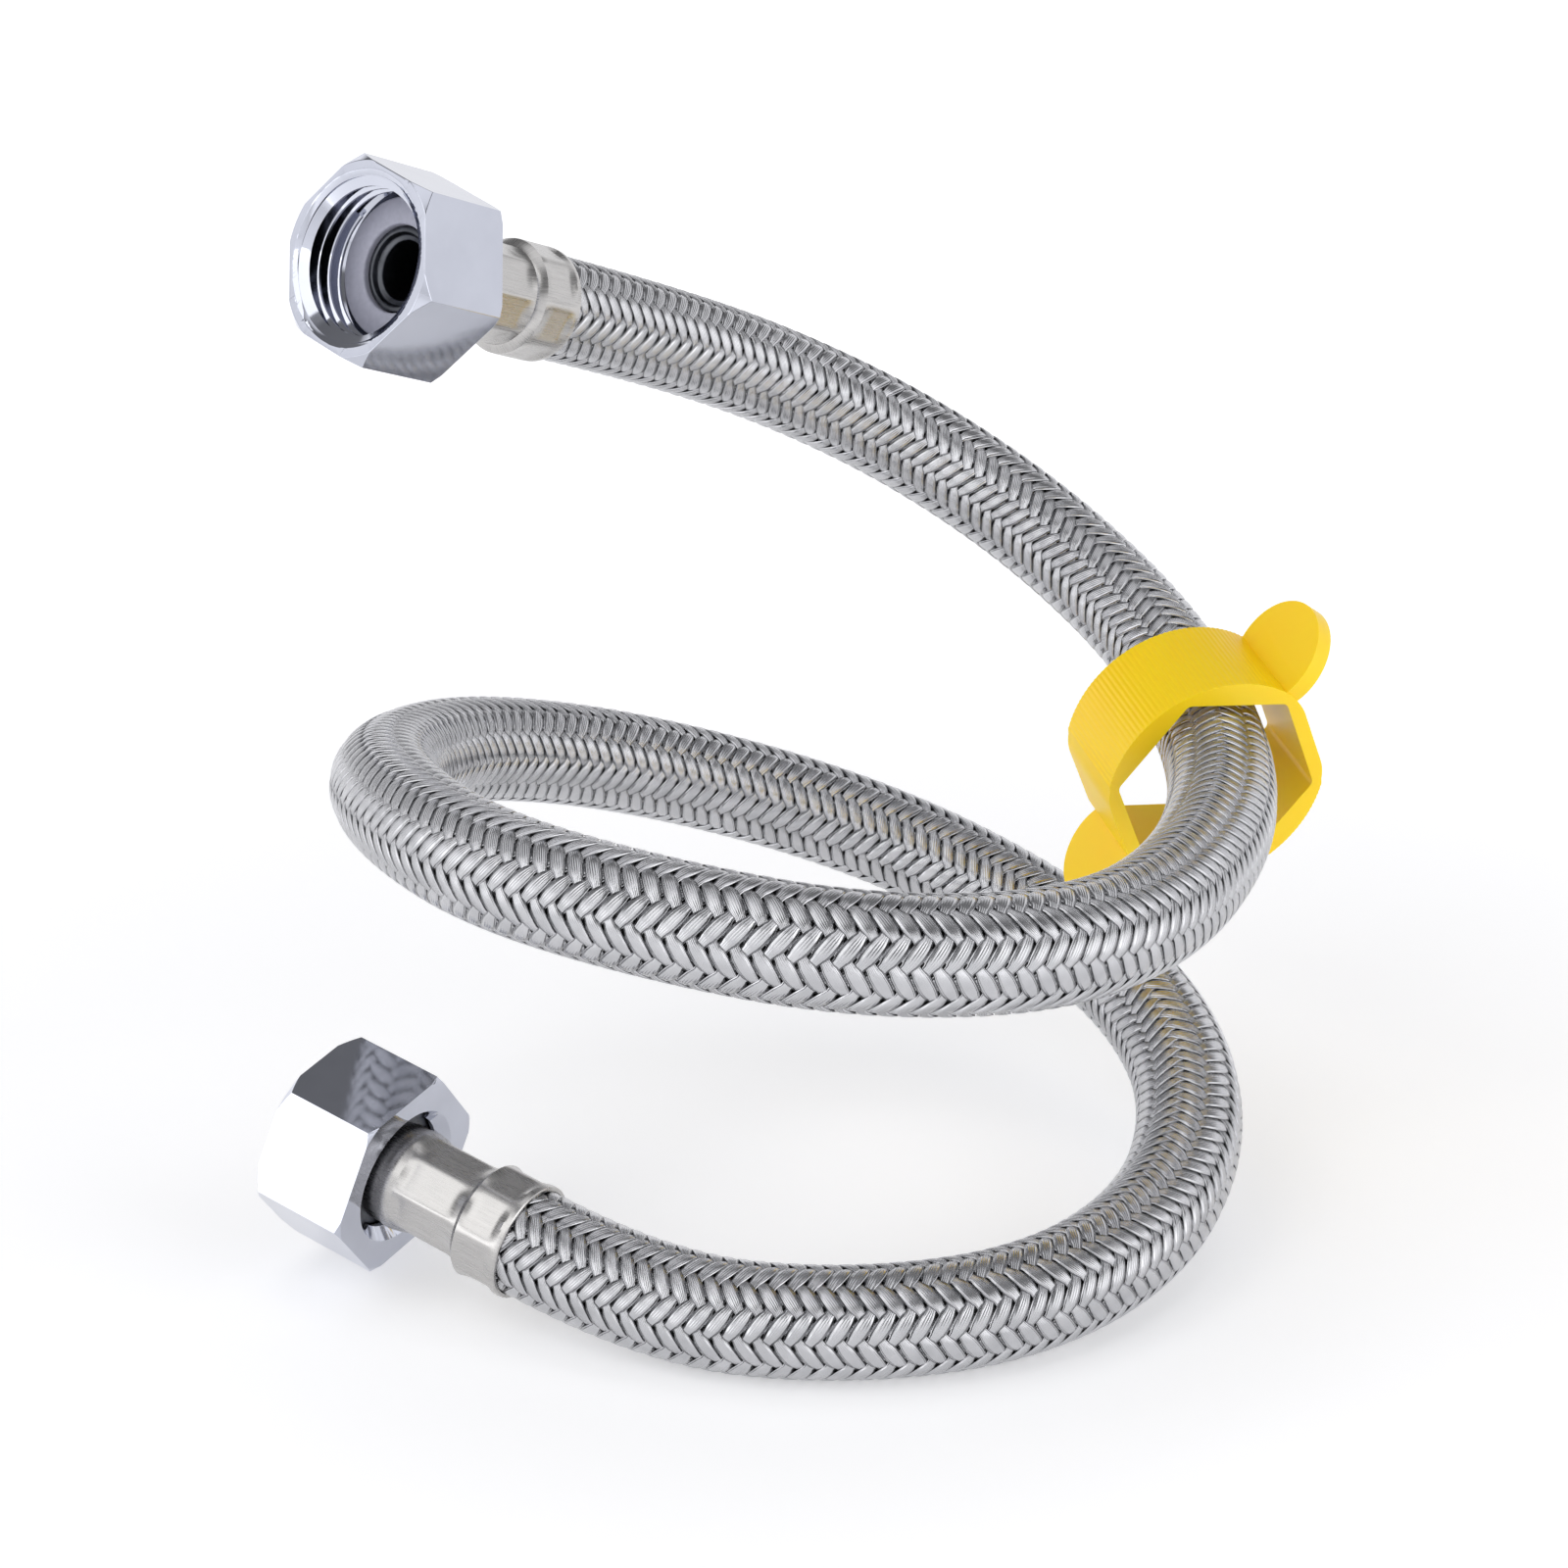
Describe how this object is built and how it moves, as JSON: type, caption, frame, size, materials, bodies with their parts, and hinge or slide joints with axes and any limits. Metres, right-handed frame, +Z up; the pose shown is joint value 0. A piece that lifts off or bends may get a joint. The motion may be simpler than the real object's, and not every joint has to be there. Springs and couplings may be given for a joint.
{
  "type": "braided supply line",
  "caption": "Flexible braided stainless supply line with a hexagon swivel nut at each end and a captive yellow hand wrench, standing as a loose upright spiral.",
  "frame": {"origin": "middle of the footprint, on the floor under the lowest turn of the hose", "axes": "+Z up, -Y towards the viewer, +X to the viewer's right"},
  "size_m": [0.1373, 0.1391, 0.1377],
  "materials": {
    "chrome_plate": "polished plate over forged and turned brass",
    "washer_rubber": "moulded grey sealing rubber",
    "stem_steel": "turned steel",
    "ferrule_steel": "drawn and crimped stainless sheet",
    "tube_rubber": "extruded black rubber",
    "braid_wire": "braided bright stainless wire",
    "yellow_plastic": "moulded satin plastic"
  },
  "bodies": {
    "hose": {"braid_sleeve": "braid_wire", "inner_tube": "tube_rubber", "upper_ferrule": "ferrule_steel", "lower_ferrule": "ferrule_steel", "upper_stem": "stem_steel", "lower_stem": "stem_steel", "upper_washer": "washer_rubber", "lower_washer": "washer_rubber"},
    "upper_swivel": {"upper_nut": "chrome_plate"},
    "lower_swivel": {"lower_nut": "chrome_plate"},
    "wrench": {"hand_wrench": "yellow_plastic"}
  },
  "joints": [
    {"name": "upper_nut_turn", "type": "hinge", "parent": "hose", "child": "upper_swivel", "pos_m": [-0.05161, 0.0147, 0.12345], "axis": [-0.618, -0.7126, 0.3321], "continuous": true},
    {"name": "lower_nut_turn", "type": "hinge", "parent": "hose", "child": "lower_swivel", "pos_m": [-0.05646, -0.01692, 0.01637], "axis": [-0.8232, 0.5292, 0.2058], "continuous": true},
    {"name": "wrench_turn", "type": "hinge", "parent": "hose", "child": "wrench", "pos_m": [0.0513, 0.0185, 0.0573], "axis": [0.31, -0.92, -0.24], "continuous": true}
  ]
}
